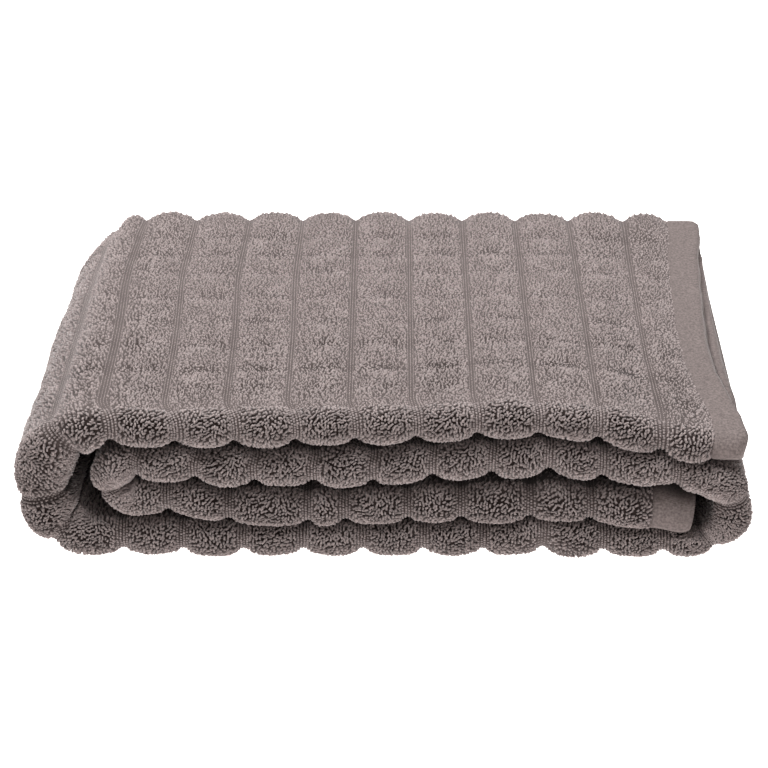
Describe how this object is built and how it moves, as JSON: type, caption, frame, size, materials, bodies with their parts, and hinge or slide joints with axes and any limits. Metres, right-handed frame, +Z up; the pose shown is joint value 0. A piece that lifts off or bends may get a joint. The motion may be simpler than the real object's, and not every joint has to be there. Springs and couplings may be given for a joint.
{
  "type": "folded bath towel",
  "caption": "Ribbed cotton bath towel, folded lengthwise and then rolled flat in layers, with plain woven end hems.",
  "frame": {"origin": "bottom centre of the bounding box, on the surface the towel lies on", "axes": "+Z up, +X along the layers towards the top hem, -Y to the side with the closed scalloped folds"},
  "size_m": [0.3616, 0.2387, 0.0873],
  "materials": {
    "cotton": "matt ribbed cotton terry, grey-brown"
  },
  "bodies": {
    "root": {"towel": "cotton"}
  },
  "joints": []
}
